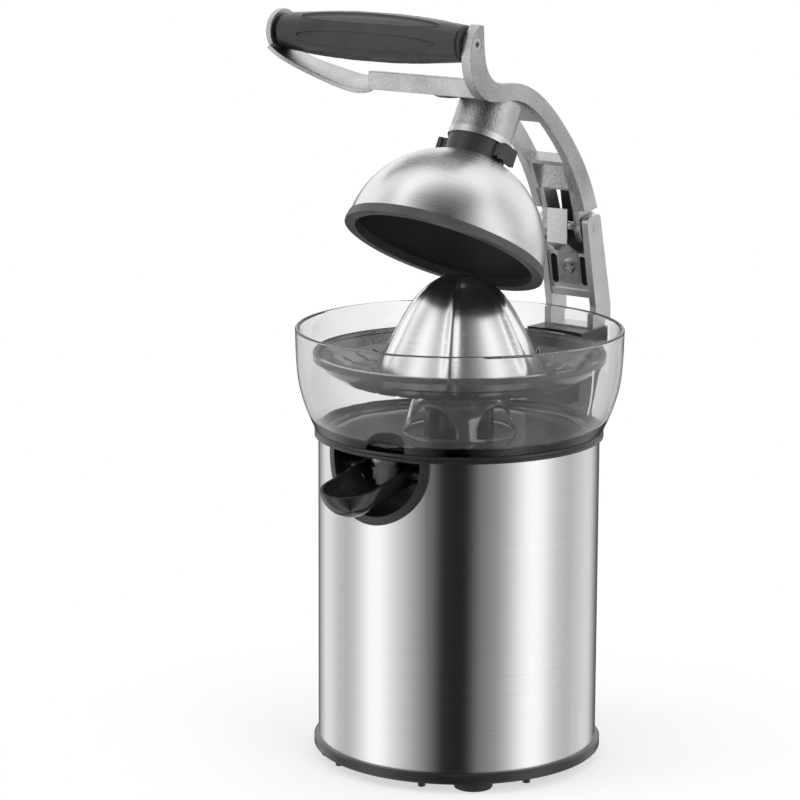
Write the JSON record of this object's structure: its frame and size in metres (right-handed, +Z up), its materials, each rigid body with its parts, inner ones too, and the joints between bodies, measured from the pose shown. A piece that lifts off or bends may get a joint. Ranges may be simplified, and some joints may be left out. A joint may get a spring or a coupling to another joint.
{
  "type": "electric citrus juicer",
  "caption": "Upright electric citrus juicer: steel body, clear bowl with strainer and ribbed reamer cone, tilting drip spout, hinged cast lever with grip and press dome.",
  "frame": {"origin": "on the body's axis, on the plane that the rubber feet stand on", "axes": "+Z up along the body's axis, -Y to the front where the spout points, +X to the right seen from the front"},
  "size_m": [0.1982, 0.2224, 0.3869],
  "materials": {
    "black_gloss": "moulded, gloss",
    "black_rubber": "matt",
    "brushed_sleeve": "brushed round the body",
    "black_satin": "satin",
    "clear_plastic": "clear moulded plastic",
    "smoky_plastic": "smoky moulded plastic",
    "smoky_black": "dark smoky plastic, gloss",
    "polished_steel": "polished",
    "brushed_dome": "brushed",
    "grey_rubber": "matt",
    "liner_plastic": "matt moulded",
    "moulded_plastic": "matt moulded",
    "gear_nylon": "natural nylon",
    "plain_steel": "plain",
    "bronze": "sintered",
    "motor_plate": "zinc plated",
    "lamination": "stacked sheet",
    "cast_aluminium": "satin, lightly textured casting",
    "grip_plastic": "satin black",
    "neck_plastic": "satin black",
    "screw_steel": "plain"
  },
  "bodies": {
    "housing": {"base_pan": "black_gloss", "rubber_foot_1": "black_rubber", "rubber_foot_2": "black_rubber", "rubber_foot_3": "black_rubber", "rubber_foot_4": "black_rubber", "rubber_foot_5": "black_rubber", "body_sleeve": "brushed_sleeve", "spout_surround": "black_satin", "spout_well": "black_satin", "top_collar": "black_gloss", "juice_bowl": "clear_plastic", "juice_skirt": "clear_plastic", "strainer": "smoky_plastic", "gearbox_floor": "moulded_plastic", "gearbox_cover": "moulded_plastic", "idler_axle": "plain_steel", "lower_bush": "bronze", "upper_bush": "bronze", "shaft_seal": "black_rubber", "motor_can": "motor_plate", "motor_cap": "motor_plate", "motor_stator": "lamination", "column": "cast_aluminium", "hinge_pin": "plain_steel", "leaf_spring": "plain_steel", "leaf_screw": "screw_steel", "hinge_shield": "black_satin", "rear_bracket": "black_satin", "bracket_screw_1": "screw_steel", "bracket_screw_2": "screw_steel", "column_screw_1": "screw_steel", "column_screw_2": "screw_steel", "cord_gland": "black_rubber"},
    "lever": {"lever_arm": "cast_aluminium", "grip": "grip_plastic", "grip_rod": "plain_steel", "grip_screw": "screw_steel", "boss_ring": "cast_aluminium", "dome_neck": "neck_plastic", "press_dome": "brushed_dome", "dome_liner": "liner_plastic", "dome_rim_seal": "grey_rubber", "dome_bolt": "screw_steel"},
    "right_tab": {"release_tab_right": "neck_plastic"},
    "left_tab": {"release_tab_left": "neck_plastic"},
    "spout": {"drip_spout": "smoky_black"},
    "drive": {"drive_shaft": "plain_steel", "output_gear": "gear_nylon", "cone_hub": "moulded_plastic", "reamer_cone": "polished_steel"},
    "idler": {"idler_gear": "gear_nylon"},
    "rotor": {"rotor_core": "lamination", "motor_shaft": "plain_steel", "pinion": "gear_nylon", "cooling_fan": "moulded_plastic"}
  },
  "joints": [
    {"name": "lever_hinge", "type": "hinge", "parent": "housing", "child": "lever", "pos_m": [0, 0.0983, 0.2692], "axis": [-1, 0, 0], "range_deg": [-29, 35]},
    {"name": "right_tab_press", "type": "slide", "parent": "lever", "child": "right_tab", "axis": [-1, 0, 0], "range_m": [0, 0.002], "stiffness_N_per_m": 200, "springref_m": -0.002},
    {"name": "left_tab_press", "type": "slide", "parent": "lever", "child": "left_tab", "axis": [1, 0, 0], "range_m": [0, 0.002], "stiffness_N_per_m": 200, "springref_m": -0.002},
    {"name": "spout_tilt", "type": "hinge", "parent": "housing", "child": "spout", "pos_m": [0, -0.06, 0.162], "axis": [-1, 0, 0], "range_deg": [0, 25]},
    {"name": "drive_spin", "type": "hinge", "parent": "housing", "child": "drive", "pos_m": [0, 0, 0.2], "axis": [0, 0, 1], "continuous": true},
    {"name": "idler_spin", "type": "hinge", "parent": "housing", "child": "idler", "pos_m": [0, 0.0312, 0.118], "axis": [0, 0, 1], "continuous": true},
    {"name": "rotor_spin", "type": "hinge", "parent": "housing", "child": "rotor", "pos_m": [0, 0, 0.07], "axis": [0, 0, 1], "continuous": true}
  ],
  "couplings": [
    {"joint": "idler_spin", "follows": "rotor_spin", "ratio": -0.33333},
    {"joint": "drive_spin", "follows": "rotor_spin", "ratio": 0.11111}
  ]
}
